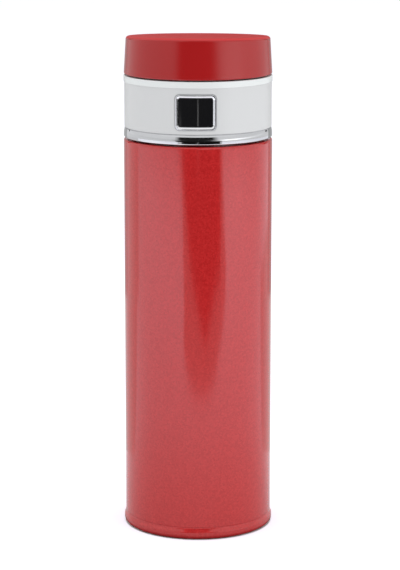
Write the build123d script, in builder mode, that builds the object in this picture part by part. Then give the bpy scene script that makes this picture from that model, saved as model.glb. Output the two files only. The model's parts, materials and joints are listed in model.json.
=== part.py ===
from build123d import *
import os
from math import cos, pi, radians, sqrt, tan

# Insulated water bottle with a spring-open flip lid.
# Millimetres, +Z up, origin on the floor under the bottle's axis. The button faces -Y and the hinge +Y.

# Clearances
fit = 0.05              # between pieces pressed, clipped or welded to each other
running_gap = 0.4       # between pieces that move past each other
thread_gap = 0.3        # radial gap between the two threads
pin_play = 0.05         # radial play of the lid on its pin

# Flask: the steel body with the vacuum between its two walls
body_radius = 33.0
body_height = 176.5     # floor to the top of the painted shoulder
shoulder_round = 0.9
shell_wall = 0.5
liner_wall = 0.4
vacuum_gap = 3.6
liner_floor_z = 8.5     # underside of the liner
liner_corner = 10.0     # rounding of the liner's bottom edge
liner_shoulder_drop = 4.0   # from the painted shoulder down to the top of the liner's cone
neck_height = 10.8      # threaded neck above the painted shoulder
neck_wall = 0.5
neck_vacuum = 0.8
neck_flange = 2.4       # how far the neck's foot reaches out under the shoulder
foil_thickness = 0.2
foil_clearance = 0.1
foil_margin = 6.0       # bare liner left below and above the foil

# Base cap: the pressed cup round the foot
cap_height = 5.6
cap_wall = 0.6
cap_flare = 0.65        # how far its widest ring stands out from the body
cap_flare_z = 3.4
cap_flare_drop = 0.6    # straight part above the flare, flush with the body
cap_flare_round = 1.5
cap_corner = 2.0
cap_recess = 1.2        # hollow under the bottle
foot_width = 1.4        # width of the ring that the bottle stands on
shell_step = 0.4        # the tube is swaged in by this much inside the cap
shell_edge = 0.05

# Bottom disc, evacuation hole and getter
disc_gap = 1.0          # above the base cap's floor
disc_rim = 2.6
disc_wall = 0.5
dimple_radius = 6.0
dimple_rise = 1.2
evacuation_hole = 1.2
bead_radius = 2.2
bead_height = 0.7
getter_radius = 3.5
getter_thickness = 1.5
getter_offset = 16.0
clip_wall = 0.3
clip_width = 5.0
clip_foot = 3.5

# Thread between the neck and the mouthpiece
thread_pitch = 4.0
thread_depth = 1.2
thread_root_width = 2.2
thread_crest_width = 1.0
thread_flank_gap = 0.2

# Collar unit
seam = 0.9              # dark gap between the body and the chrome ring
ring_height = 4.3
ring_wall_height = 2.4  # upright lower part, above it the ring leans in
ring_lean = 0.4         # how far its upper edge is set in
ring_lean_round = 10.0
ring_inset = 0.05
ring_round = 0.5        # its lower edge
ring_edge = 0.25        # its upper edge
ring_wall = 1.5
ring_lip = 0.7          # thickness of its floor under the collar
collar_height = 20.2    # white wall between the ring and the band
collar_inset = 0.3
collar_wall = 2.3
groove_height = 0.35    # shadow groove between the ring and the collar
groove_depth = 0.5
band_height = 2.8
band_round = 0.4
deck_thickness = 2.0
deck_spigot = 0.7       # how far the deck reaches down into the collar
deck_spigot_wall = 2.0
gasket_thickness = 1.6
gasket_width = 2.8
web_thickness = 1.6     # mouthpiece's web over the gasket
skirt_wall = 1.5
skirt_flange = 1.6
plug_wall = 1.8
plug_depth = 8.0        # how far the plug reaches down into the neck from the web
spout_step = 1.3        # shoulder that the deck rests on
spout_wall = 1.8
spout_taper = 1.1
lip_round = 0.7

# Button, bezel and latch slide
bezel_width = 17.6
bezel_corner = 1.8
bezel_frame = 1.25      # visible width of the frame
bezel_proud = 0.45
bezel_bevel = 0.75      # width and depth of the slope round the opening
bezel_bevel_depth = 0.4
bezel_edge = 0.2
bezel_seat = 0.6        # depth of the collar's pocket
bezel_groove = 0.3      # gap between the bezel and the pocket's wall
bezel_spigot = 0.8      # wall of the sleeve that goes through the collar
bezel_drop = 2.75       # below the band
bezel_rise = 2.15       # above the chrome ring
button_gap = 0.3
button_round = 0.15
button_inset = 0.4      # button face behind the collar's face
button_travel = 1.8
slide_wall = 1.3        # front plate of the slide
slide_thickness = 2.0
slide_half_width = 6.4
slide_overlap = 1.2     # how far the front plate reaches past the opening
ledge_width = 1.6
rail_wall = 1.5
rail_foot = 1.1
rail_length = 4.0
spring_wire = 0.5
spring_headroom = 1.4   # between the spring and the catch
spring_turns = 5.0
stub_length = 1.2
stub_play = 0.3         # between the stubs and the spring

# Lid
lid_gap = 0.6
lid_height = 16.4       # on the axis
lid_inset = 0.1
lid_draft = 3.4         # degrees
lid_slope = 2.93        # degrees, front edge high
lid_wall = 1.8
lid_round = 1.4
lid_edge_round = 0.5
lid_inner_round = 1.0
lid_liner_wall = 1.5
lid_liner_rise = 0.8    # flange above the lid's lower edge
lid_headroom = 1.8      # between the inner lid and the shell's roof
seal_thickness = 1.3
seal_gap = 0.1
seal_plug = 1.4         # how far the seal's dome enters the spout
seal_clearance = 2.6    # between the dome and the spout's bore
seal_margin = 1.0       # how far the seal reaches past the spout's lip
seal_ring = 0.8         # rib round the seal
seal_ring_depth = 2.3

# Lid catch
leg_thickness = 1.6
leg_half_width = 4.0
catch_bite = 1.0        # how far the tooth reaches under the ledge
catch_height = 1.8
catch_tip = 0.4
catch_gap = 0.2         # under the ledge
catch_head = 1.6
leg_swing = 1.1         # the leg moves forward by less than this as it swings out

# Hinge
hinge_half_width = 12.0
ear_width = 3.6
side_gap = 0.3
pin_radius = 1.0
knuckle_radius = 2.6
hinge_gap = 0.2         # between the knuckles and the band
housing_drop = 14.0     # height of the housing on the collar's back
hinge_round = 0.8
lid_spring_wire = 0.6
lid_spring_radius = 1.9
lid_spring_pitch = 0.66
lid_spring_turns = 6.5
lid_spring_upper_leg = 2.4
lid_spring_lower_leg = 3.8
bridge_thickness = 1.8
bridge_rise = 3.6       # how far up the lid's back the lugs reach

# Heights, from the floor up
cap_floor_z = cap_recess + cap_wall
disc_z = cap_floor_z + disc_gap
neck_top_z = body_height + neck_height
rim_z = neck_top_z + liner_wall
web_z = rim_z + gasket_thickness
web_top_z = web_z + web_thickness
ring_z = body_height + seam
collar_z = ring_z + ring_height
band_z = collar_z + collar_height
deck_z = band_z + band_height
deck_under_z = deck_z - deck_thickness
lid_z = deck_z + lid_gap
lid_top_z = lid_z + lid_height
skirt_z = ring_z + ring_lip + fit
slide_top_z = band_z - deck_spigot - running_gap
slide_z = slide_top_z - slide_thickness
catch_top_z = slide_z - catch_gap
catch_z = catch_top_z - catch_height
bezel_height = collar_height - bezel_drop - bezel_rise
button_z = band_z - bezel_drop - bezel_height / 2
spring_reach = (catch_z - spring_headroom - web_top_z - running_gap) / 2
spring_z = web_top_z + running_gap + spring_reach
spring_radius = spring_reach - spring_wire / 2      # middle of the wire
stub_radius = spring_radius - spring_wire / 2 - stub_play

# Radii of the collar's mechanism, from the wall inwards
collar_radius = body_radius - collar_inset
collar_bore = collar_radius - collar_wall
band_radius = body_radius
slide_outer = collar_bore - running_gap
slide_inner = slide_outer - slide_wall
skirt_radius = slide_inner - button_travel - running_gap
thread_root = skirt_radius - skirt_wall
neck_crest = thread_root - thread_gap
neck_radius = neck_crest - thread_depth
neck_bore = neck_radius - neck_wall
liner_neck_radius = neck_bore - neck_vacuum
liner_mouth = liner_neck_radius - liner_wall
plug_radius = liner_mouth - running_gap
plug_bore = plug_radius - plug_wall
leg_outer = slide_inner - button_travel - running_gap
leg_inner = leg_outer - leg_thickness
ledge_edge = leg_inner - running_gap
ledge_inner = ledge_edge - ledge_width
catch_reach = ledge_edge - catch_bite
spout_base = ledge_inner - button_travel - running_gap
spout_radius = spout_base - spout_step
spout_lip = spout_radius - spout_taper
spout_bore = spout_lip - spout_wall

# Other radii and places
liner_radius = body_radius - shell_wall - vacuum_gap
cap_radius = body_radius + cap_flare
shell_foot = body_radius - shell_step
opening_width = bezel_width - 2 * bezel_frame
opening_height = bezel_height - 2 * bezel_frame
opening_corner = bezel_corner - bezel_frame * 0.7
slide_half_height = opening_height / 2 + slide_overlap
pin_y = band_radius + hinge_gap + knuckle_radius
pin_z = deck_z + lid_gap / 2
lug_outer = hinge_half_width - ear_width - side_gap
lid_spring_half = (lid_spring_pitch * lid_spring_turns + lid_spring_wire) / 2
lug_inner = lid_spring_half + running_gap
lid_radius = body_radius - lid_inset
lid_top_plane = Plane(origin=(0, 0, lid_top_z), z_dir=Vector(0, 0, 1).rotate(Axis.X, -lid_slope))

# Inner lid, from the shell's roof down to the seal and the spout's lip
seal_radius = spout_lip + seal_margin
liner_cup_radius = spout_radius + seal_ring + 2 * lid_liner_wall
cup_top_z = lid_top_z - liner_cup_radius * tan(radians(lid_slope)) - lid_wall - lid_headroom
cup_ceiling_z = cup_top_z - lid_liner_wall
seal_z = cup_ceiling_z - seal_thickness
lip_z = seal_z - seal_gap
liner_flange_z = lid_z + lid_liner_rise
liner_flange_top_z = liner_flange_z + lid_liner_wall

tall = 2 * lid_top_z    # longer than any cut through the collar


# A closed section of (radius, height, rounding) corners, to be turned about the axis.
def solid_section(corners):
    with BuildSketch(Plane.XZ) as section:
        with BuildLine():
            FilletPolyline(
                [(radius, height) for radius, height, _ in corners],
                radius=[rounding for _, _, rounding in corners],
                close=True,
            )
        make_face()
    return section.sketch


# A section of pressed sheet: an open run of such corners along its outside, given its wall inwards.
def sheet_section(corners, wall):
    with BuildSketch(Plane.XZ) as section:
        with BuildLine():
            FilletPolyline(
                [(radius, height) for radius, height, _ in corners],
                radius=[rounding for _, _, rounding in corners[1:-1]],
            )
            offset(amount=wall, side=Side.LEFT)
        make_face()
    return section.sketch


# One thread ridge on a wall of the given radius; it stands out by depth, or in where depth is negative.
def thread_ridge(wall_radius, depth, start_z, height):
    sunk = -thread_gap / 2 if depth > 0 else thread_gap / 2
    with BuildPart() as ridge:
        with BuildLine() as path:
            Helix(pitch=thread_pitch, height=height, radius=wall_radius, center=(0, 0, start_z))
        start = Plane(origin=path.line @ 0, x_dir=(1, 0, 0), z_dir=path.line % 0)
        with BuildSketch(start):
            with BuildLine():
                Polyline(
                    (sunk, -thread_root_width / 2),
                    (depth, -thread_crest_width / 2),
                    (depth, thread_crest_width / 2),
                    (sunk, thread_root_width / 2),
                    close=True,
                )
            make_face()
        sweep(path=path.line, is_frenet=True)
    return ridge.part


# A plane facing the front at the button's middle, this far out from the axis.
def front_plane(distance):
    return Plane(origin=(0, -distance, button_z), x_dir=(1, 0, 0), z_dir=(0, -1, 0))


# The lid's tapered block with its sloping top, made smaller all round by inset.
def lid_block(inset, floor_z, rounding):
    slant = tan(radians(lid_draft))
    low = lid_radius - inset / cos(radians(lid_draft)) + (lid_z - floor_z) * slant
    high_z = lid_top_z + lid_radius * tan(radians(lid_slope)) + lid_wall
    high = low - (high_z - floor_z) * slant
    section = solid_section([(0, floor_z, 0), (low, floor_z, 0), (high, high_z, 0), (0, high_z, 0)])
    with BuildPart() as block:
        revolve(section, axis=Axis.Z)
        split(bisect_by=lid_top_plane.offset(-inset), keep=Keep.BOTTOM)
        fillet(block.faces().sort_by(Axis.Z)[-1].edges(), radius=rounding)
    return block.part


# ---- Flask ----

with BuildPart() as outer_shell:
    revolve(
        sheet_section(
            [
                (shell_foot, cap_floor_z + fit, 0),
                (shell_foot, cap_height + fit, 0),
                (body_radius, cap_height + fit, shell_edge),
                (body_radius, body_height, shoulder_round),
                (neck_radius + fit, body_height, 0),
            ],
            shell_wall,
        ),
        axis=Axis.Z,
    )
outer_shell.part.label = "outer_shell"

foot_outer = cap_radius - cap_corner
foot_inner = foot_outer - foot_width
with BuildPart() as base_cap:
    revolve(
        sheet_section(
            [
                (0, cap_recess, 0),
                (foot_inner - cap_recess, cap_recess, cap_wall),
                (foot_inner, 0, cap_wall / 2),
                (cap_radius, 0, cap_corner),
                (cap_radius, cap_flare_z, cap_flare_round),
                (body_radius, cap_height - cap_flare_drop, cap_flare_round),
                (body_radius, cap_height, 0),
            ],
            cap_wall,
        ),
        axis=Axis.Z,
    )
    # The wall is thinned inside, where the tube's swaged foot goes in.
    with BuildSketch(Plane.XY.offset(cap_floor_z)):
        Circle(shell_foot + fit)
    extrude(amount=cap_height, mode=Mode.SUBTRACT)
base_cap.part.label = "base_cap"

disc_radius = shell_foot - shell_wall - fit
with BuildPart() as outer_bottom:
    revolve(
        sheet_section(
            [
                (evacuation_hole, disc_z + dimple_rise, 0),
                (dimple_radius, disc_z + dimple_rise, disc_wall),
                (dimple_radius + dimple_rise, disc_z, disc_wall),
                (disc_radius, disc_z, 2 * disc_wall),
                (disc_radius, disc_z + disc_rim, 0),
            ],
            disc_wall,
        ),
        axis=Axis.Z,
    )
outer_bottom.part.label = "outer_bottom"

dimple_z = disc_z + dimple_rise
with BuildPart() as seal_bead:
    revolve(
        solid_section(
            [
                (0, dimple_z - bead_height, 0),
                (bead_radius, dimple_z - bead_height, bead_height / 2),
                (bead_radius, dimple_z, 0),
                (evacuation_hole - fit, dimple_z, 0),
                (evacuation_hole - fit, dimple_z + disc_wall, 0),
                (0, dimple_z + disc_wall, 0),
            ]
        ),
        axis=Axis.Z,
    )
seal_bead.part.label = "seal_bead"

disc_top_z = disc_z + disc_wall
with BuildPart() as getter:
    with BuildSketch(Plane.XY.offset(disc_top_z)):
        with Locations((0, getter_offset)):
            Circle(getter_radius)
    extrude(amount=getter_thickness)
    fillet(getter.edges(), radius=getter_thickness / 6)
getter.part.label = "getter"

clip_top_z = disc_top_z + getter_thickness
with BuildPart() as getter_clip:
    with BuildSketch(Plane.XZ.offset(-getter_offset)) as clip_section:
        with BuildLine():
            Polyline(
                (-getter_radius - clip_foot, disc_top_z),
                (-getter_radius - fit - clip_wall, disc_top_z),
                (-getter_radius - fit - clip_wall, clip_top_z),
                (getter_radius + fit + clip_wall, clip_top_z),
                (getter_radius + fit + clip_wall, disc_top_z),
                (getter_radius + clip_foot, disc_top_z),
            )
            offset(amount=clip_wall, side=Side.LEFT)
        make_face()
    extrude(amount=clip_width / 2, both=True)
getter_clip.part.label = "getter_clip"

liner_cone_z = body_height - liner_shoulder_drop
liner_cone_rise = liner_radius - liner_neck_radius
with BuildPart() as inner_liner:
    revolve(
        sheet_section(
            [
                (0, liner_floor_z, 0),
                (liner_radius, liner_floor_z, liner_corner),
                (liner_radius, liner_cone_z - liner_cone_rise, liner_corner / 2),
                (liner_neck_radius, liner_cone_z, liner_corner / 2),
                (liner_neck_radius, neck_top_z, 0),
                (neck_radius, neck_top_z, 0),
            ],
            liner_wall,
        ),
        axis=Axis.Z,
    )
inner_liner.part.label = "inner_liner"

foil_inner = liner_radius + foil_clearance
foil_bottom_z = liner_floor_z + liner_corner + foil_margin
foil_top_z = liner_cone_z - liner_cone_rise - foil_margin
with BuildPart() as radiation_foil:
    with BuildSketch(Plane.XY.offset(foil_bottom_z)):
        Circle(foil_inner + foil_thickness)
        Circle(foil_inner, mode=Mode.SUBTRACT)
    extrude(amount=foil_top_z - foil_bottom_z)
radiation_foil.part.label = "radiation_foil"

cap_thread_z = skirt_z + thread_root_width / 2 + fit
thread_middle_width = (thread_root_width + thread_crest_width) / 2
neck_thread_z = cap_thread_z + thread_middle_width + thread_flank_gap
neck_thread_height = neck_top_z - thread_root_width / 2 - thread_gap - neck_thread_z
neck_foot_z = body_height - shell_wall - neck_wall
neck_ridge = thread_ridge(neck_radius, thread_depth, neck_thread_z, neck_thread_height)
with BuildPart() as neck_ring:
    revolve(
        solid_section(
            [
                (neck_bore, neck_foot_z, 0),
                (neck_radius + neck_flange, neck_foot_z, 0),
                (neck_radius + neck_flange, neck_foot_z + neck_wall, 0),
                (neck_radius, neck_foot_z + neck_wall, 0),
                (neck_radius, neck_top_z, 0),
                (neck_bore, neck_top_z, 0),
            ]
        ),
        axis=Axis.Z,
    )
    add(neck_ridge)
neck_ring.part.label = "neck_ring"

# ---- Gasket between the flask and the collar ----

gasket_bore = plug_radius + thread_gap
with BuildPart() as stopper_gasket:
    revolve(
        solid_section(
            [
                (gasket_bore, rim_z, gasket_thickness / 5),
                (gasket_bore + gasket_width, rim_z, gasket_thickness / 5),
                (gasket_bore + gasket_width, web_z, gasket_thickness / 5),
                (gasket_bore, web_z, gasket_thickness / 5),
            ]
        ),
        axis=Axis.Z,
    )
stopper_gasket.part.label = "stopper_gasket"

# ---- Collar ----

ring_radius = body_radius - ring_inset
ring_bore = ring_radius - ring_wall
ring_lip_bore = collar_bore - ring_lip
with BuildPart() as chrome_ring:
    revolve(
        solid_section(
            [
                (ring_lip_bore, ring_z, ring_edge),
                (ring_radius, ring_z, ring_round),
                (ring_radius, ring_z + ring_wall_height, ring_lean_round),
                (ring_radius - ring_lean, collar_z, ring_edge),
                (ring_bore, collar_z, 0),
                (ring_bore, ring_z + ring_lip, 0),
                (ring_lip_bore, ring_z + ring_lip, 0),
            ]
        ),
        axis=Axis.Z,
    )
chrome_ring.part.label = "chrome_ring"

# Plan outline that rounds the back corners of the housing and of the hinge's ears
with BuildSketch() as hinge_plan:
    RectangleRounded(2 * hinge_half_width, 2 * (pin_y + knuckle_radius), hinge_round)

with BuildPart() as hinge_housing:
    with BuildSketch(Plane.YZ):
        with BuildLine():
            FilletPolyline(
                (0, band_z - housing_drop),
                (collar_radius - collar_wall / 2, band_z - housing_drop),
                (pin_y + knuckle_radius, band_z - housing_drop / 3),
                (pin_y + knuckle_radius, band_z),
                (0, band_z),
                radius=[0, 0, 2 * hinge_round, 0, 0],
                close=True,
            )
        make_face()
    extrude(amount=hinge_half_width, both=True)
    extrude(hinge_plan.sketch, amount=tall, mode=Mode.INTERSECT)

with BuildPart() as bezel_pocket:
    with BuildSketch(front_plane(collar_bore / 2)):
        RectangleRounded(
            bezel_width + 2 * bezel_groove,
            bezel_height + 2 * bezel_groove,
            bezel_corner + bezel_groove,
        )
    extrude(amount=collar_radius)
    Cylinder(collar_radius - bezel_seat, tall, mode=Mode.SUBTRACT)

with BuildPart() as collar:
    revolve(
        solid_section(
            [
                (0, skirt_z, 0),
                (ring_bore - fit, skirt_z, 0),
                (ring_bore - fit, collar_z, 0),
                (collar_radius - groove_depth, collar_z, 0),
                (collar_radius - groove_depth, collar_z + groove_height, 0),
                (collar_radius, collar_z + groove_height, 0),
                (collar_radius, band_z, 0),
                (0, band_z, 0),
            ]
        ),
        axis=Axis.Z,
    )
    add(hinge_housing.part)
    Cylinder(collar_bore, tall, mode=Mode.SUBTRACT)
    with BuildSketch(front_plane(collar_bore / 2)):
        RectangleRounded(
            opening_width + 2 * bezel_spigot,
            opening_height + 2 * bezel_spigot,
            opening_corner + bezel_spigot,
        )
    extrude(amount=collar_radius, mode=Mode.SUBTRACT)
    add(bezel_pocket.part, mode=Mode.SUBTRACT)
collar.part.label = "collar"

deck_bore = spout_radius + fit
rail_inner = ledge_inner - button_travel + running_gap
rail_x = slide_half_width + side_gap
rail_foot_z = slide_z - side_gap - rail_foot
slot_inner = catch_reach - running_gap
slot_outer = leg_outer + leg_swing
slot_half_width = leg_half_width + running_gap
notch_z = pin_z - lid_spring_radius - lid_spring_wire / 2 - fit
with BuildPart() as hinge_ears:
    for ear_x in (-hinge_half_width, hinge_half_width - ear_width):
        with BuildSketch(Plane.YZ.offset(ear_x)):
            with BuildLine():
                Polyline(
                    (collar_bore - fit, band_z),
                    (collar_bore - fit, deck_z),
                    (band_radius + hinge_gap, deck_z),
                    (band_radius + hinge_gap, pin_z),
                    (pin_y + knuckle_radius, pin_z),
                    (pin_y + knuckle_radius, band_z),
                    close=True,
                )
            make_face()
            with Locations((pin_y, pin_z)):
                Circle(knuckle_radius)
        extrude(amount=ear_width)
    extrude(hinge_plan.sketch, amount=tall, mode=Mode.INTERSECT)

with BuildPart() as collar_deck:
    revolve(
        solid_section(
            [
                (deck_bore, deck_under_z, 0),
                (collar_bore - deck_spigot_wall, deck_under_z, 0),
                (collar_bore - deck_spigot_wall, band_z - deck_spigot, 0),
                (collar_bore - fit, band_z - deck_spigot, 0),
                (collar_bore - fit, band_z, 0),
                (band_radius, band_z, band_round / 2),
                (band_radius, deck_z, band_round),
                (deck_bore, deck_z, 0),
            ]
        ),
        axis=Axis.Z,
    )
    # Slot for the lid's catch
    with BuildSketch(Plane.XY.offset(deck_under_z)):
        with Locations((0, -(slot_inner + slot_outer) / 2)):
            RectangleRounded(2 * slot_half_width, slot_outer - slot_inner, running_gap)
    extrude(amount=deck_thickness, mode=Mode.SUBTRACT)
    # Rails that carry the latch slide
    with BuildSketch(Plane.XZ.offset(rail_inner)) as rail_section:
        with BuildLine():
            Polyline(
                (rail_x, deck_under_z),
                (rail_x + rail_wall, deck_under_z),
                (rail_x + rail_wall, rail_foot_z),
                (rail_x - rail_foot, rail_foot_z),
                (rail_x - rail_foot, rail_foot_z + rail_foot),
                (rail_x, rail_foot_z + rail_foot),
                close=True,
            )
        make_face()
        mirror(about=Plane.YZ)
    extrude(amount=rail_length)
    add(hinge_ears.part)
    with BuildSketch(Plane.YZ.offset(-hinge_half_width)):
        with Locations((pin_y, pin_z)):
            Circle(pin_radius + fit)
    extrude(amount=2 * hinge_half_width, mode=Mode.SUBTRACT)
    # Notch for the spring's fixed leg
    with BuildSketch(Plane.XY.offset(notch_z)):
        with Locations((0, pin_y)):
            Rectangle(2 * lug_inner, 2 * (lid_spring_lower_leg + running_gap))
    extrude(amount=deck_z - notch_z, mode=Mode.SUBTRACT)
collar_deck.part.label = "collar_deck"

cap_ridge = thread_ridge(thread_root, -thread_depth, cap_thread_z, thread_pitch)
with BuildPart() as mouthpiece:
    revolve(
        solid_section(
            [
                (thread_root, skirt_z, 0),
                (collar_bore - fit, skirt_z, 0),
                (collar_bore - fit, skirt_z + skirt_flange, 0),
                (skirt_radius, skirt_z + skirt_flange, 0),
                (skirt_radius, web_top_z, 0),
                (spout_base, web_top_z, 0),
                (spout_base, deck_under_z, 0),
                (spout_radius, deck_under_z, 0),
                (spout_radius, deck_z + spout_step, 2 * lip_round),
                (spout_lip, lip_z, lip_round),
                (spout_bore, lip_z, lip_round),
                (spout_bore, web_top_z + plug_bore - spout_bore, 0),
                (plug_bore, web_top_z, 0),
                (plug_bore, web_z - plug_depth, 0),
                (plug_radius, web_z - plug_depth, lip_round),
                (plug_radius, web_z, 0),
                (thread_root, web_z, 0),
            ]
        ),
        axis=Axis.Z,
    )
    add(cap_ridge)
    # Stub that holds the button's spring
    with BuildSketch(Plane.XZ.offset(spout_base - stub_length)):
        with Locations((0, spring_z)):
            Circle(stub_radius)
    extrude(amount=2 * stub_length)
mouthpiece.part.label = "mouthpiece"

with BuildPart() as button_bezel:
    with BuildSketch(front_plane(collar_bore / 2)):
        RectangleRounded(bezel_width, bezel_height, bezel_corner)
    extrude(amount=collar_radius)
    Cylinder(collar_radius - bezel_seat + fit, tall, mode=Mode.SUBTRACT)
    with BuildSketch(front_plane(collar_bore / 2)):
        RectangleRounded(
            opening_width + 2 * (bezel_spigot - fit),
            opening_height + 2 * (bezel_spigot - fit),
            opening_corner + bezel_spigot - fit,
        )
    extrude(amount=collar_radius)
    Cylinder(collar_bore + fit, tall, mode=Mode.SUBTRACT)
    Cylinder(collar_radius + bezel_proud, tall, mode=Mode.INTERSECT)
    with BuildSketch(front_plane(collar_bore / 2)):
        RectangleRounded(opening_width, opening_height, opening_corner)
    extrude(amount=collar_radius, mode=Mode.SUBTRACT)
    frame_face = button_bezel.faces().filter_by(GeomType.CYLINDER).sort_by(Axis.Y)[0]
    fillet(frame_face.outer_wire().edges(), radius=bezel_edge)
    frame_face = button_bezel.faces().filter_by(GeomType.CYLINDER).sort_by(Axis.Y)[0]
    chamfer(
        frame_face.inner_wires()[0].edges(),
        length=bezel_bevel,
        length2=bezel_bevel_depth,
        reference=frame_face,
    )
button_bezel.part.label = "button_bezel"

with BuildPart() as hinge_pin:
    with BuildSketch(Plane.YZ.offset(-hinge_half_width)):
        with Locations((pin_y, pin_z)):
            Circle(pin_radius)
    extrude(amount=2 * hinge_half_width)
    chamfer(hinge_pin.edges(), length=pin_radius / 5)
hinge_pin.part.label = "hinge_pin"

spring_front = slide_inner - fit
spring_length = spring_front - spout_base - spring_wire
with BuildPart() as button_spring:
    with BuildLine() as spring_path:
        Helix(
            pitch=spring_length / spring_turns,
            height=spring_length,
            radius=spring_radius,
            center=(0, -(spout_base + fit + spring_wire / 2), spring_z),
            direction=(0, -1, 0),
        )
    with BuildSketch(Plane(origin=spring_path.line @ 0, z_dir=spring_path.line % 0)):
        Circle(spring_wire / 2)
    sweep(path=spring_path.line, is_frenet=True)
button_spring.part.label = "button_spring"

# Torsion spring round the pin: its upper leg lifts the lid, its lower leg bears on the deck.
coil_length = lid_spring_pitch * lid_spring_turns
with BuildPart() as lid_spring:
    with BuildLine() as coil_path:
        Helix(
            pitch=lid_spring_pitch,
            height=coil_length,
            radius=lid_spring_radius,
            center=(-coil_length / 2, pin_y, pin_z),
            direction=(1, 0, 0),
            lefthand=True,
        )
    with BuildSketch(Plane(origin=coil_path.line @ 0, z_dir=coil_path.line % 0)):
        Circle(lid_spring_wire / 2)
    sweep(path=coil_path.line, is_frenet=True)
    for leg_start, leg_direction, leg_length in (
        (coil_path.line @ 0, coil_path.line % 0 * -1, lid_spring_upper_leg),
        (coil_path.line @ 1, coil_path.line % 1, lid_spring_lower_leg),
    ):
        with BuildSketch(Plane(origin=leg_start, z_dir=leg_direction)):
            Circle(lid_spring_wire / 2)
        extrude(amount=leg_length)
lid_spring.part.label = "lid_spring"

# ---- Button ----

button_face = collar_radius - button_inset
with BuildPart() as button:
    with BuildSketch(front_plane(collar_bore / 2)):
        RectangleRounded(
            opening_width - 2 * button_gap,
            opening_height - 2 * button_gap,
            opening_corner,
        )
    extrude(amount=collar_radius)
    Cylinder(button_face, tall, mode=Mode.INTERSECT)
    Cylinder(slide_outer + fit, tall, mode=Mode.SUBTRACT)
    front_face = button.faces().filter_by(GeomType.CYLINDER).sort_by(Axis.Y)[0]
    fillet(front_face.outer_wire().edges(), radius=button_round)
button.part.label = "button"

window_outer = leg_outer + button_travel + running_gap
slide_front = sqrt(slide_outer**2 - slide_half_width**2) - running_gap
with BuildPart() as button_slider:
    with BuildSketch(front_plane(collar_bore / 2)) as plate:
        Rectangle(opening_width + 2 * slide_overlap, 2 * slide_half_height)
        with Locations((0, (slide_top_z - button_z) / 2)):
            Rectangle(2 * slide_half_width, slide_top_z - button_z)
    extrude(amount=collar_radius)
    Cylinder(slide_outer, tall, mode=Mode.INTERSECT)
    Cylinder(slide_inner, tall, mode=Mode.SUBTRACT)
    # Slide over the spring, with the window that the catch enters
    with BuildSketch(Plane.XY.offset(slide_z)):
        with Locations((0, -(ledge_inner + slide_front) / 2)):
            Rectangle(2 * slide_half_width, slide_front - ledge_inner)
        with Locations((0, -(ledge_edge + window_outer) / 2)):
            Rectangle(2 * slot_half_width, window_outer - ledge_edge, mode=Mode.SUBTRACT)
    extrude(amount=slide_thickness)
    with BuildSketch(Plane.XZ.offset(slide_inner - stub_length)):
        with Locations((0, spring_z)):
            Circle(stub_radius)
    extrude(amount=stub_length + slide_wall / 2)
button_slider.part.label = "button_slider"

# ---- Lid ----

lid_cavity = lid_block(lid_wall, lid_z - lid_wall, lid_inner_round)
lug_root_y = lid_radius - lid_wall + fit
bridge_z = pin_z + lid_spring_radius + lid_spring_wire / 2 + fit
with BuildPart() as lid_shell:
    add(lid_block(0, lid_z, lid_round))
    fillet(lid_shell.faces().sort_by(Axis.Z)[0].edges(), radius=lid_edge_round)
    add(lid_cavity, mode=Mode.SUBTRACT)
    # Knuckles on the pin, and the bridge over the spring
    for lug_x, lug_width in ((-lug_outer, lug_outer - lug_inner), (lug_inner, lug_outer - lug_inner)):
        with BuildSketch(Plane.YZ.offset(lug_x)):
            with BuildLine():
                Polyline(
                    (lug_root_y, lid_z + lid_edge_round),
                    (lug_root_y, bridge_z + bridge_rise),
                    (pin_y + knuckle_radius / 2, pin_z + knuckle_radius * sqrt(3) / 2),
                    (pin_y, pin_z),
                    (pin_y - knuckle_radius, pin_z),
                    close=True,
                )
            make_face()
            with Locations((pin_y, pin_z)):
                Circle(knuckle_radius)
        extrude(amount=lug_width)
    with BuildSketch(Plane.YZ):
        with BuildLine():
            Polyline(
                (lug_root_y, bridge_z),
                (lug_root_y, bridge_z + bridge_rise),
                (pin_y, bridge_z + bridge_thickness),
                (pin_y, bridge_z),
                close=True,
            )
        make_face()
    extrude(amount=lug_inner, both=True)
    with BuildSketch(Plane.YZ.offset(-lug_outer)):
        with Locations((pin_y, pin_z)):
            Circle(pin_radius + pin_play)
    extrude(amount=2 * lug_outer, mode=Mode.SUBTRACT)
lid_shell.part.label = "lid_shell"

liner_flange_radius = (
    lid_radius
    - lid_wall / cos(radians(lid_draft))
    - (liner_flange_top_z - lid_z) * tan(radians(lid_draft))
    - fit
)
cup_bore = liner_cup_radius - lid_liner_wall
seal_ring_z = cup_ceiling_z - seal_ring_depth
with BuildPart() as lid_liner:
    revolve(
        solid_section(
            [
                (0, cup_ceiling_z, 0),
                (seal_radius + fit, cup_ceiling_z, 0),
                (seal_radius + fit, seal_ring_z, seal_ring / 3),
                (seal_radius + seal_ring, seal_ring_z, seal_ring / 3),
                (seal_radius + seal_ring, cup_ceiling_z, 0),
                (cup_bore, cup_ceiling_z, lid_liner_wall / 2),
                (cup_bore, liner_flange_z, lid_liner_wall / 2),
                (liner_flange_radius, liner_flange_z, 0),
                (liner_flange_radius, liner_flange_top_z, 0),
                (liner_cup_radius, liner_flange_top_z, 0),
                (liner_cup_radius, cup_top_z, lid_liner_wall),
                (0, cup_top_z, 0),
            ]
        ),
        axis=Axis.Z,
    )
    # Hole that the catch is clipped through
    with BuildSketch(Plane.XY.offset(liner_flange_z)):
        with Locations((0, -(leg_inner + leg_outer) / 2)):
            Rectangle(2 * (leg_half_width + fit), leg_thickness + 2 * fit)
    extrude(amount=lid_liner_wall, mode=Mode.SUBTRACT)
lid_liner.part.label = "lid_liner"

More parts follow.
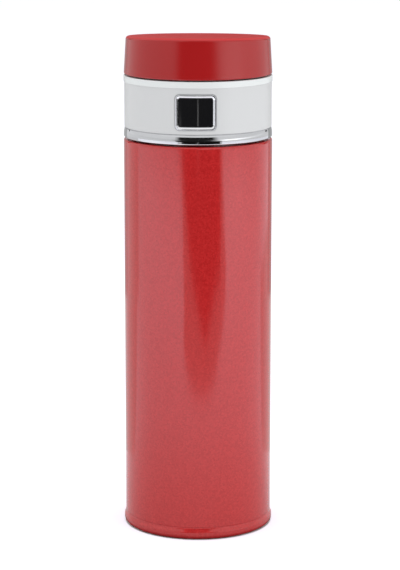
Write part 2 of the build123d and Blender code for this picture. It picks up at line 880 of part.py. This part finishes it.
dome_radius = spout_bore - seal_clearance
with BuildPart() as lid_gasket:
    revolve(
        solid_section(
            [
                (0, lip_z - seal_plug, 0),
                (dome_radius - seal_plug, lip_z - seal_plug, seal_plug),
                (dome_radius, seal_z, 0),
                (seal_radius, seal_z, seal_thickness / 4),
                (seal_radius, cup_ceiling_z, 0),
                (0, cup_ceiling_z, 0),
            ]
        ),
        axis=Axis.Z,
    )
lid_gasket.part.label = "lid_gasket"

with BuildPart() as lid_catch:
    with BuildSketch(Plane.YZ):
        with BuildLine():
            Polyline(
                (-leg_outer, catch_z),
                (-leg_outer, liner_flange_top_z + catch_head),
                (-leg_inner, liner_flange_top_z + catch_head),
                (-leg_inner, catch_top_z),
                (-catch_reach, catch_top_z),
                (-catch_reach, catch_top_z - catch_tip),
                (-leg_inner, catch_z),
                close=True,
            )
        make_face()
    extrude(amount=leg_half_width, both=True)
    with BuildSketch(Plane.XY.offset(liner_flange_top_z)):
        with Locations((0, -(leg_inner + leg_outer) / 2)):
            Rectangle(2 * (leg_half_width + catch_bite), leg_thickness + 2 * catch_bite)
    extrude(amount=catch_head)
lid_catch.part.label = "lid_catch"

os.makedirs("parts", exist_ok=True)
for piece in (
    outer_shell,
    base_cap,
    outer_bottom,
    seal_bead,
    getter,
    getter_clip,
    inner_liner,
    radiation_foil,
    neck_ring,
    stopper_gasket,
    chrome_ring,
    collar,
    collar_deck,
    mouthpiece,
    button_bezel,
    hinge_pin,
    button_spring,
    lid_spring,
    button,
    button_slider,
    lid_shell,
    lid_liner,
    lid_gasket,
    lid_catch,
):
    export_step(piece.part, f"parts/{piece.part.label}.step")

# The button's travel is a slide, and the collar rises by its thread's lead as it turns.
print("lid hinge axis (mm):", round(pin_y, 3), round(pin_z, 3))
print("collar lead (m per radian):", round(thread_pitch / 1000 / (2 * pi), 9))
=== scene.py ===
import json
from math import cos, pi, radians, sin

import bmesh
import bpy
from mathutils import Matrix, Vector


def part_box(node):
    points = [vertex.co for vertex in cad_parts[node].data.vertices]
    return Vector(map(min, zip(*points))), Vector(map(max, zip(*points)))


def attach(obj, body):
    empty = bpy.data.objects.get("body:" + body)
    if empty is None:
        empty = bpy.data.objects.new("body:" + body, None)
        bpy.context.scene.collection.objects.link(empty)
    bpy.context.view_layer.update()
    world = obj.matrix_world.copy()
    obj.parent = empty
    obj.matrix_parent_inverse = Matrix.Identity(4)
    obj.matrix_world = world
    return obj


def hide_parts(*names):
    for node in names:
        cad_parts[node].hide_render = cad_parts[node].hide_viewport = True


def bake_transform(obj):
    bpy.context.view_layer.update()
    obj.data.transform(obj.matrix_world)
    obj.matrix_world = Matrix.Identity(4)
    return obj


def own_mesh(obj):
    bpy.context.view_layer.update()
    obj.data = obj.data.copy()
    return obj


# Insulated water bottle: finishes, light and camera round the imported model.
# Metres, +Z up, the button faces -Y.

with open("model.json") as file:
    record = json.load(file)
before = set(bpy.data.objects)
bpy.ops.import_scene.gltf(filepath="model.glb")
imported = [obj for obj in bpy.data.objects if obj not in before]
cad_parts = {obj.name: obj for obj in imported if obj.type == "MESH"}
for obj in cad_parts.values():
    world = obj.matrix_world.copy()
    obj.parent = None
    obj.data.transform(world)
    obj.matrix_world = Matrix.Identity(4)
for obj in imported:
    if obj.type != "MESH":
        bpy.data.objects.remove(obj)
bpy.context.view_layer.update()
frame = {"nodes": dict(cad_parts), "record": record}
nodes = frame["nodes"]
scene = bpy.context.scene
scene.view_settings.view_transform = "Standard"


def linkObject(name, data):
    obj = bpy.data.objects.new(name, data)
    scene.collection.objects.link(obj)
    return obj


def meshObject(name, bm, material):
    mesh = bpy.data.meshes.new(name)
    bm.to_mesh(mesh)
    bm.free()
    mesh.materials.append(material)
    return linkObject(name, mesh)


cameraSpec = {
    "distance": 0.9867,     # from the bottle's axis
    "height": 0.3098,
    "turn": 1.8,            # degrees towards +X
    "tilt": 11.48,          # degrees down
    "lens": 140.9,          # millimetres
    "shift": 0.0035,
}


def makeCamera(spec):
    data = bpy.data.cameras.new("camera")
    data.lens = spec["lens"]
    data.shift_x = spec["shift"]
    camera = linkObject("camera", data)
    turn = radians(spec["turn"])
    distance = spec["distance"]
    camera.location = (distance * sin(turn), -distance * cos(turn), spec["height"])
    camera.rotation_euler = (radians(90 - spec["tilt"]), 0, turn)
    scene.camera = camera


makeCamera(cameraSpec)
print("camera placed")


# Studio: white all round, a pale paper floor, and cards that the bottle's gloss shows
studioSpec = {
    "roomStrength": 0.84,           # of the white world as light
    "floorSize": 7.0,               # radius
    "floorSides": 96,
    "floorTone": 0.80,
    "floorRoughness": 0.9,
    "floorGlow": 0.42,              # what the floor seems to shine with, near and far
    "farGlow": 0.33,
    # Painted pool of light on the floor, on the button's side
    "frontGlow": 0.40,              # added on the button's side
    "glowReach": (0.08, 0.60),      # distances over which that comes in
    "glowFade": (0.95, 1.45),       # distances over which it goes again
    "glowSide": (0.35, -0.45),      # the added glow fades towards the hinge's side
    "glowTint": (0.98, 1.0, 1.18, 1),
    # Painted shadow on the floor: none of the glow under the bottle, painted shade near it, painted contact
    # shadow by the foot
    "footprint": 0.0334,            # no glow under the bottle
    "nearShade": 0.75,              # the bottle's own reflection sees less glow close to it
    "nearReach": (0.05, 0.26),      # distances over which that shade ends
    "contactShade": 0.72,           # the foot's corner sees a darker floor right beside it
    "contactReach": (0.0345, 0.038),
}


def rays(tree, kind):
    return tree.nodes.new("ShaderNodeLightPath").outputs[f"Is {kind} Ray"]


def ramp(tree, value, start, end):
    node = tree.nodes.new("ShaderNodeMapRange")
    node.interpolation_type = "SMOOTHSTEP"
    node.inputs["From Min"].default_value = start
    node.inputs["From Max"].default_value = end
    tree.links.new(value, node.inputs["Value"])
    return node.outputs["Result"]


def combine(tree, operation, first, second):
    node = tree.nodes.new("ShaderNodeMath")
    node.operation = operation
    for socket, value in zip(node.inputs, (first, second)):
        if isinstance(value, float):
            socket.default_value = value
        else:
            tree.links.new(value, socket)
    return node.outputs[0]


# 1 where the camera, a reflection or glass looks straight at the surface
def seenDirectly(tree):
    seen = combine(tree, "MAXIMUM", rays(tree, "Camera"), rays(tree, "Glossy"))
    return combine(tree, "MAXIMUM", seen, rays(tree, "Transmission"))


def inverse(tree, value):
    return combine(tree, "SUBTRACT", 1.0, value)


def product(tree, *values):
    result = values[0]
    for value in values[1:]:
        result = combine(tree, "MULTIPLY", result, value)
    return result


def makeFloor(spec):
    material = bpy.data.materials.new("paperFloor")
    material.use_nodes = True
    tree = material.node_tree
    shader = tree.nodes["Principled BSDF"]
    shader.inputs["Roughness"].default_value = spec["floorRoughness"]
    shader.inputs["Specular IOR Level"].default_value = 0.0
    shader.inputs["Emission Color"].default_value = spec["glowTint"]
    place = tree.nodes.new("ShaderNodeTexCoord").outputs["Object"]
    distance = tree.nodes.new("ShaderNodeVectorMath")
    distance.operation = "LENGTH"
    tree.links.new(place, distance.inputs[0])
    reach = distance.outputs["Value"]
    split = tree.nodes.new("ShaderNodeSeparateXYZ")
    tree.links.new(place, split.inputs[0])

    # The floor shines evenly near the bottle and less far off, and more on the button's side: a painted pool
    # of light
    fade = inverse(tree, ramp(tree, reach, *spec["glowFade"]))
    near = product(tree, fade, spec["floorGlow"] - spec["farGlow"])
    even = combine(tree, "ADD", near, spec["farGlow"])
    rise = ramp(tree, reach, *spec["glowReach"])
    front = ramp(tree, split.outputs["Y"], *spec["glowSide"])
    pool = product(tree, rise, fade, front, spec["frontGlow"])
    glow = combine(tree, "ADD", pool, even)

    # Painted shadow under the bottle, painted shade close to it for its own gloss, and a painted contact
    # shadow beside its foot
    outside = combine(tree, "GREATER_THAN", reach, spec["footprint"])
    close = inverse(tree, ramp(tree, reach, *spec["nearReach"]))
    kept = inverse(tree, product(tree, close, rays(tree, "Glossy"), spec["nearShade"]))
    beside = inverse(tree, ramp(tree, reach, *spec["contactReach"]))
    unseen = inverse(tree, rays(tree, "Camera"))
    contactShadowFactor = inverse(tree, product(tree, beside, unseen, spec["contactShade"]))

    strength = product(tree, glow, outside, kept, contactShadowFactor, seenDirectly(tree))
    tree.links.new(strength, shader.inputs["Emission Strength"])
    # The painted contact shadow also darkens the floor's colour, for all but camera rays
    tree.links.new(product(tree, contactShadowFactor, spec["floorTone"]), shader.inputs["Base Color"])

    bm = bmesh.new()
    sides = spec["floorSides"]
    bmesh.ops.create_circle(bm, cap_ends=True, cap_tris=False, segments=sides, radius=spec["floorSize"])
    meshObject("floor", bm, material)


def makeWorld(spec):
    world = bpy.data.worlds.new("studio")
    world.use_nodes = True
    tree = world.node_tree
    background = tree.nodes["Background"]
    background.inputs["Color"].default_value = (1, 1, 1, 1)
    # Plain white to the eye and in the gloss, a little less as light
    extra = product(tree, seenDirectly(tree), 1.0 - spec["roomStrength"])
    strength = combine(tree, "ADD", extra, spec["roomStrength"])
    tree.links.new(strength, background.inputs["Strength"])
    scene.world = world


makeFloor(studioSpec)
makeWorld(studioSpec)

# A round wall, seen only by reflections. Stops are (azimuth in degrees, brightness):
# azimuth 0 is the button's side, positive to the right.
wallSpec = {
    "radius": 1.5,
    "height": 0.52,
    "sides": 128,
    "joins": ((0.12, 0.16), (0.22, 0.28)),      # heights where lower turns to middle, middle to upper
    "peak": 2.5,        # brightness of a tone of 1 in the ramps
    "middle": (
        (-180, 0.80), (-150, 0.95), (-120, 0.98), (-100, 0.88), (-60, 0.80),
        (-40, 0.80), (-30, 0.40), (-24, 0.05), (-14, 0.02), (10, 0.02),
        (20, 0.06), (29, 0.50), (38, 1.50), (46, 2.05), (63, 2.05),
        (80, 1.50), (102, 1.10), (122, 0.95), (142, 0.75), (180, 0.75),
    ),
    "lower": (
        (-180, 0.90), (-60, 0.90), (-34, 0.88), (-30, 0.01), (36, 0.01),
        (40, 0.88), (60, 0.95), (100, 0.90), (180, 0.90),
    ),
    "upper": (
        (-180, 0.90), (-60, 0.95), (-34, 0.92), (-26, 0.02), (24, 0.02),
        (34, 0.92), (60, 0.95), (100, 0.90), (180, 0.90),
    ),
}


def glowMaterial(name, strength):
    material = bpy.data.materials.new(name)
    material.use_nodes = True
    tree = material.node_tree
    tree.nodes.remove(tree.nodes["Principled BSDF"])
    glow = tree.nodes.new("ShaderNodeEmission")
    glow.inputs["Strength"].default_value = strength
    tree.links.new(glow.outputs[0], tree.nodes["Material Output"].inputs["Surface"])
    return material, glow


# Tones round the wall as a ramp, which starts and ends at the back
def wallBand(tree, around, stops, peak):
    node = tree.nodes.new("ShaderNodeValToRGB")
    points = node.color_ramp.elements
    for azimuth, tone in stops:
        if azimuth == -180:
            point = points[0]
        elif azimuth == 180:
            point = points[-1]
        else:
            point = points.new(azimuth / 360 + 0.5)
        shade = tone / peak
        point.color = (shade, shade, shade, 1)
    tree.links.new(around, node.inputs["Fac"])
    return node.outputs["Color"]


def wallMaterial(spec):
    material, glow = glowMaterial("lightWall", spec["peak"])
    tree = material.node_tree
    split = tree.nodes.new("ShaderNodeSeparateXYZ")
    tree.links.new(tree.nodes.new("ShaderNodeTexCoord").outputs["Object"], split.inputs[0])
    forward = combine(tree, "MULTIPLY", split.outputs["Y"], -1.0)
    turn = combine(tree, "DIVIDE", combine(tree, "ARCTAN2", split.outputs["X"], forward), 2 * pi)
    around = combine(tree, "ADD", turn, 0.5)
    bands = [wallBand(tree, around, spec[band], spec["peak"]) for band in ("lower", "middle", "upper")]
    color = bands[0]
    for band, join in zip(bands[1:], spec["joins"]):
        mix = tree.nodes.new("ShaderNodeMix")
        mix.data_type = "RGBA"
        tree.links.new(ramp(tree, split.outputs["Z"], *join), mix.inputs["Factor"])
        tree.links.new(color, mix.inputs["A"])
        tree.links.new(band, mix.inputs["B"])
        color = mix.outputs["Result"]
    tree.links.new(color, glow.inputs["Color"])
    return material


def onlyReflected(piece):
    piece.visible_camera = False
    piece.visible_diffuse = False
    piece.visible_shadow = False


def makeWall(spec):
    bm = bmesh.new()
    bmesh.ops.create_circle(bm, segments=spec["sides"], radius=spec["radius"])
    raised = bmesh.ops.extrude_edge_only(bm, edges=list(bm.edges))
    top = [part for part in raised["geom"] if isinstance(part, bmesh.types.BMVert)]
    bmesh.ops.translate(bm, verts=top, vec=(0, 0, spec["height"]))
    onlyReflected(meshObject("lightWall", bm, wallMaterial(spec)))


makeWall(wallSpec)

# Upright cards, also only in reflections: ends as (x, y), heights, and how bright each is.
cardSpecs = {
    "frontSlit": {"ends": ((0.030, -1.47), (0.058, -1.47)), "heights": (0, 0.03), "tone": 3.0},
    "leftEdgeCard": {"ends": ((-0.07, 0.52), (-0.34, 0.40)), "heights": (0.002, 0.60), "tone": 0.52},
    "rightEdgeCard": {"ends": ((0.07, 0.52), (0.34, 0.40)), "heights": (0.002, 0.60), "tone": 0.46},
    "leftSideCard": {"ends": ((-0.34, 0.40), (-0.52, 0.11)), "heights": (0.002, 0.118), "tone": 0.84},
    "rearCard": {"ends": ((-1.10, 0.95), (1.10, 0.95)), "heights": (0.205, 1.20), "tone": 0.05},
    "highFrontCard": {"ends": ((-0.52, -1.40), (0.52, -1.40)), "heights": (0.64, 0.95), "tone": 0.02},
}
# Cards that lie just over the floor, as outlines seen from above
floorCardSpecs = {
    "shadeCard": {
        "outline": (
            (-1.06, -1.5), (-0.36, -0.90), (-0.21, -0.58), (-0.16, -0.47),
            (-0.14, -0.38), (-0.08, -0.32), (-0.01, -0.285), (0.075, -0.275),
            (0.15, -0.29), (0.22, -0.33), (0.33, -0.37), (0.42, -0.42),
            (0.51, -0.52), (0.57, -0.64), (0.80, -1.0), (1.10, -1.5),
        ),
        "height": 0.002,
        "tone": 0.66,
    },
    "darkCard": {
        "outline": (
            (-0.66, -1.5), (-0.49, -1.15), (-0.30, -0.93), (-0.188, -0.754),
            (-0.085, -0.60), (-0.03, -0.55), (0.02, -0.49), (0.07, -0.42),
            (0.11, -0.41), (0.175, -0.45), (0.255, -0.49), (0.36, -0.50),
            (0.46, -0.62), (0.56, -0.78), (0.74, -1.02), (1.0, -1.5),
        ),
        "height": 0.004,
        "tone": 0.005,
    },
    # The two back cards are painted shade on the floor behind the bottle, seen only in reflections
    "leftBackCard": {
        "outline": ((-0.02, 0.12), (-0.09, 0.09), (-0.13, 0.04), (-0.56, 0.17), (-0.56, 0.60), (-0.02, 0.60)),
        "height": 0.002,
        "tone": 0.80,
    },
    "rightBackCard": {
        "outline": ((0.02, 0.12), (0.02, 0.60), (0.56, 0.60), (0.56, 0.26), (0.13, 0.06), (0.09, 0.09)),
        "height": 0.002,
        "tone": 0.80,
    },
    "slitCard": {
        "outline": ((0.027, -1.35), (0.054, -1.35), (0.058, -1.47), (0.030, -1.47)),
        "height": 0.006,
        "tone": 3.0,
    },
}


def makeCard(name, corners, tone):
    bm = bmesh.new()
    bm.faces.new([bm.verts.new(corner) for corner in corners])
    material, _ = glowMaterial(name, tone)
    onlyReflected(meshObject(name, bm, material))


def makeCards(specs, flatSpecs):
    for name, spec in specs.items():
        (ax, ay), (bx, by) = spec["ends"]
        low, high = spec["heights"]
        makeCard(name, ((ax, ay, low), (bx, by, low), (bx, by, high), (ax, ay, high)), spec["tone"])
    for name, spec in flatSpecs.items():
        makeCard(name, [(x, y, spec["height"]) for x, y in spec["outline"]], spec["tone"])


makeCards(cardSpecs, floorCardSpecs)

# Soft boxes face the bottle. Azimuth 0 is the button's side, positive to the right.
lightSpecs = {
    "keyBox": {"azimuth": 53, "distance": 1.3, "low": 0.12, "high": 0.85, "width": 0.92, "radiance": 2.2},
    "leftFill": {"azimuth": -80, "distance": 1.5, "low": 0.1, "high": 1.3, "width": 1.2, "radiance": 0.88},
}
topSpec = {"height": 1.6, "size": 1.0, "radiance": 1.0}


def makeAreaLight(name, place, normal, width, height, radiance):
    data = bpy.data.lights.new(name, "AREA")
    data.shape = "RECTANGLE"
    data.size = width
    data.size_y = height
    data.energy = radiance * pi * width * height
    lamp = linkObject(name, data)
    lamp.location = place
    lamp.rotation_euler = normal.to_track_quat("-Z", "Y").to_euler()
    lamp.visible_camera = False
    lamp.visible_glossy = False


def makeLights(specs, top):
    for name, spec in specs.items():
        turn = radians(spec["azimuth"])
        outward = Vector((sin(turn), -cos(turn), 0))
        place = outward * spec["distance"] + Vector((0, 0, (spec["low"] + spec["high"]) / 2))
        height = spec["high"] - spec["low"]
        makeAreaLight(name, place, -outward, spec["width"], height, spec["radiance"])
    place = Vector((0, 0, top["height"]))
    makeAreaLight("topBox", place, Vector((0, 0, -1)), top["size"], top["size"], top["radiance"])


makeLights(lightSpecs, topSpec)
print("studio lit")


# One procedural material; its patterns read object coordinates.
class Finish:
    def __init__(self, name, inputs):
        self.material = bpy.data.materials.new(name)
        self.material.use_nodes = True
        self.tree = self.material.node_tree
        self.shader = self.tree.nodes["Principled BSDF"]
        for socket, value in inputs.items():
            self.shader.inputs[socket].default_value = value
        self.place = self.tree.nodes.new("ShaderNodeTexCoord").outputs["Object"]

    def noise(self, spec, stretch=(1, 1, 1)):
        mapping = self.tree.nodes.new("ShaderNodeMapping")
        mapping.inputs["Scale"].default_value = stretch
        self.tree.links.new(self.place, mapping.inputs["Vector"])
        node = self.tree.nodes.new("ShaderNodeTexNoise")
        node.inputs["Scale"].default_value = spec["scale"]
        node.inputs["Detail"].default_value = spec["detail"]
        self.tree.links.new(mapping.outputs["Vector"], node.inputs["Vector"])
        return node.outputs["Fac"]

    def cells(self, scale):
        node = self.tree.nodes.new("ShaderNodeTexVoronoi")
        node.inputs["Scale"].default_value = scale
        self.tree.links.new(self.place, node.inputs["Vector"])
        return node.outputs["Color"]

    def axis(self, name):
        node = self.tree.nodes.new("ShaderNodeSeparateXYZ")
        self.tree.links.new(self.place, node.inputs[0])
        return node.outputs[name]

    def spread(self, value, low, high):
        node = self.tree.nodes.new("ShaderNodeMapRange")
        node.inputs["To Min"].default_value = low
        node.inputs["To Max"].default_value = high
        self.tree.links.new(value, node.inputs["Value"])
        return node.outputs["Result"]

    # Colours are tuples or the outputs of other nodes
    def blend(self, value, first, second):
        node = self.tree.nodes.new("ShaderNodeMix")
        node.data_type = "RGBA"
        for socket, color in (("A", first), ("B", second)):
            if isinstance(color, tuple):
                node.inputs[socket].default_value = (*color, 1)
            else:
                self.tree.links.new(color, node.inputs[socket])
        self.tree.links.new(value, node.inputs["Factor"])
        return node.outputs["Result"]

    def relief(self, spec, stretch=(1, 1, 1)):
        node = self.tree.nodes.new("ShaderNodeBump")
        node.inputs["Distance"].default_value = spec["depth"]
        node.inputs["Strength"].default_value = spec["strength"]
        self.tree.links.new(self.noise(spec, stretch), node.inputs["Height"])
        return node.outputs["Normal"]

    def feed(self, socket, output):
        self.tree.links.new(output, self.shader.inputs[socket])


# Red paint with fine flakes under a clear coat
enamelSpec = {
    "inputs": {
        "Roughness": 0.5, "Specular IOR Level": 0.0,
        "Coat Weight": 1.0, "Coat Roughness": 0.12, "Coat IOR": 1.6,
    },
    "flakeScale": 1500,
    "shades": ((0.40, 0.010, 0.011), (0.54, 0.021, 0.022)),
    "grain": {"scale": 2600, "detail": 1.0, "depth": 0.00003, "strength": 0.35},
    "coatRipple": {"scale": 420, "detail": 2.0, "depth": 0.00003, "strength": 0.6},
    "coatStretch": (1, 1, 0.5),
}
# The lid is polished on its sides and satin on its sloping top; the top's lighter red is painted light from
# above
lidSpec = {
    "inputs": {"Roughness": 0.16, "IOR": 1.5},
    "topSlope": 0.0512,             # rise over run
    "topBand": (0.0004, 0.0012),    # below the rim, where the satin ends
    "roughness": (0.16, 0.5),       # side, top
    "mottle": {"scale": 60, "detail": 3.0},
    "sideShades": ((0.350, 0.006, 0.007), (0.380, 0.008, 0.009)),
    "paintedLightTopColor": (0.55, 0.019, 0.021),
    "grain": {"scale": 3200, "detail": 2.0, "depth": 0.00002, "strength": 0.3},
}
# The plain kinds: factors on the tint and on the roughness, and the patterns that vary them
kindSpecs = {
    "plastic": {
        "inputs": {},
        "mottle": {"scale": 40, "detail": 3.0},
        "shades": (0.98, 1.02),
        "wear": {"scale": 1200, "detail": 2.0},
        "roughness": (0.85, 1.15),
        "grain": {"scale": 2400, "detail": 2.0, "depth": 0.00001, "strength": 0.25},
    },
    "chrome": {
        "inputs": {"Metallic": 1.0},
        "mottle": {"scale": 300, "detail": 3.0},
        "shades": (0.97, 1.0),
        "wear": {"scale": 700, "detail": 3.0},
        "roughness": (0.7, 1.3),
    },
    "lacquer": {
        "inputs": {"IOR": 1.5},
        "mottle": {"scale": 120, "detail": 2.0},
        "shades": (0.8, 1.0),
        "wear": {"scale": 600, "detail": 2.0},
        "roughness": (2 / 3, 4 / 3),
    },
    "steel": {
        "inputs": {"Metallic": 1.0},
        "mottle": {"scale": 500, "detail": 3.0},
        "shades": (0.9, 1.0),
        "wear": {"scale": 900, "detail": 3.0},
        "roughness": (0.7, 1.35),
        "grain": {"scale": 1500, "detail": 2.0, "depth": 0.00001, "strength": 0.4},
    },
    "silicone": {
        "inputs": {"Subsurface Weight": 0.25, "Subsurface Scale": 0.002},
        "mottle": {"scale": 80, "detail": 2.0},
        "shades": (0.96, 1.0),
        "wear": {"scale": 1000, "detail": 2.0},
        "roughness": (5 / 6, 7 / 6),
        "grain": {"scale": 1800, "detail": 2.0, "depth": 0.00002, "strength": 0.25},
    },
}
alongAxis = (1, 1, 0.05)        # drawn marks run up the bottle
alongPin = (0.05, 1, 1)         # and along the pin
# By material slot: name, kind, tint, roughness, and how the pattern is stretched
plainSpecs = {
    "stainless": ("stainless", "steel", (0.72, 0.71, 0.70), 0.22, alongAxis),
    "chrome_trim": ("chromeTrim", "chrome", (0.60, 0.61, 0.63), 0.06),
    "white_plastic": ("whitePlastic", "plastic", (0.63, 0.64, 0.65), 0.34),
    "white_band": ("whiteBand", "plastic", (0.76, 0.79, 0.795), 0.25),
    "bezel_chrome": ("bezelChrome", "chrome", (0.80, 0.81, 0.83), 0.16),
    "spout_plastic": ("spoutPlastic", "plastic", (0.80, 0.80, 0.78), 0.38),
    "button_black": ("buttonBlack", "lacquer", (0.009, 0.009, 0.010), 0.06),
    "slider_plastic": ("sliderPlastic", "plastic", (0.10, 0.11, 0.12), 0.40),
    "liner_plastic": ("linerPlastic", "plastic", (0.78, 0.78, 0.76), 0.40),
    "silicone": ("sealSilicone", "silicone", (0.74, 0.76, 0.76), 0.48),
    "lid_silicone": ("lidSilicone", "silicone", (0.72, 0.75, 0.76), 0.48),
    "catch_plastic": ("catchPlastic", "plastic", (0.03, 0.03, 0.032), 0.40),
    "spring_steel": ("springSteel", "steel", (0.60, 0.60, 0.61), 0.25),
    "pin_steel": ("pinSteel", "steel", (0.66, 0.66, 0.67), 0.18, alongPin),
    "foil_copper": ("foilCopper", "steel", (0.85, 0.52, 0.38), 0.20),
    "getter_grey": ("getterGrey", "steel", (0.22, 0.22, 0.23), 0.60),
    "solder": ("solder", "steel", (0.58, 0.58, 0.60), 0.35),
}


def redEnamel(spec):
    f = Finish("redEnamel", spec["inputs"])
    f.feed("Base Color", f.blend(f.cells(spec["flakeScale"]), *spec["shades"]))
    f.feed("Normal", f.relief(spec["grain"]))
    f.feed("Coat Normal", f.relief(spec["coatRipple"], spec["coatStretch"]))
    return f.material


def redPlastic(spec):
    f = Finish("redPlastic", spec["inputs"])
    # A plane parallel to the sloping top parts the two surfaces
    slope = spec["topSlope"]
    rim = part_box("lid_shell")[1][2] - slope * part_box("outer_shell")[1][0]
    level = combine(f.tree, "ADD", f.axis("Z"), product(f.tree, f.axis("Y"), slope))
    upper, lower = spec["topBand"]
    top = ramp(f.tree, level, rim - lower, rim - upper)
    side = f.blend(f.noise(spec["mottle"]), *spec["sideShades"])
    # The lighter top red is painted light from above
    f.feed("Base Color", f.blend(top, side, spec["paintedLightTopColor"]))
    f.feed("Roughness", f.spread(top, *spec["roughness"]))
    f.feed("Normal", f.relief(spec["grain"]))
    return f.material


def plainFinish(name, kind, tint, rough, stretch=(1, 1, 1)):
    spec = kindSpecs[kind]
    f = Finish(name, {"Roughness": rough, **spec["inputs"]})
    dark, light = (tuple(factor * c for c in tint) for factor in spec["shades"])
    f.feed("Base Color", f.blend(f.noise(spec["mottle"], stretch), dark, light))
    smooth, coarse = (factor * rough for factor in spec["roughness"])
    f.feed("Roughness", f.spread(f.noise(spec["wear"], stretch), smooth, coarse))
    if "grain" in spec:
        f.feed("Normal", f.relief(spec["grain"], stretch))
    return f.material


print("making finishes")
finishes = {slot: plainFinish(*spec) for slot, spec in plainSpecs.items()}
finishes["red_enamel"] = redEnamel(enamelSpec)
finishes["red_plastic"] = redPlastic(lidSpec)
for part in frame["record"]["subparts"]:
    for slot in nodes[part["node"]].material_slots:
        slot.material = finishes[part["material_slot"]]
print("finishes set")

# The two springs are replaced by merged copies in spring steel: the button's is parented to the collar unit,
# the lid's stays where it is
buttonCoilSpec = {"node": "button_spring", "joint": "button_press"}
lidCoilSpec = {"node": "lid_spring", "joint": "lid_hinge", "wire": 0.0006}
mergeDistance = 0.000001


def mergedCopy(name, node):
    bm = bmesh.new()
    bm.from_mesh(nodes[node].data)
    bmesh.ops.remove_doubles(bm, verts=list(bm.verts), dist=mergeDistance)
    piece = meshObject(name, bm, finishes["spring_steel"])
    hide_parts(node)
    return piece


def makeButtonCoil(spec):
    coil = mergedCopy("buttonCoil", spec["node"])
    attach(coil, "collar_unit")
    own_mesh(coil)


# The lid's spring is copied in place, with its placement baked into the mesh
def makeLidCoil(spec):
    coil = mergedCopy("lidCoil", spec["node"])
    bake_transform(coil)


makeButtonCoil(buttonCoilSpec)
makeLidCoil(lidCoilSpec)
print("springs made")
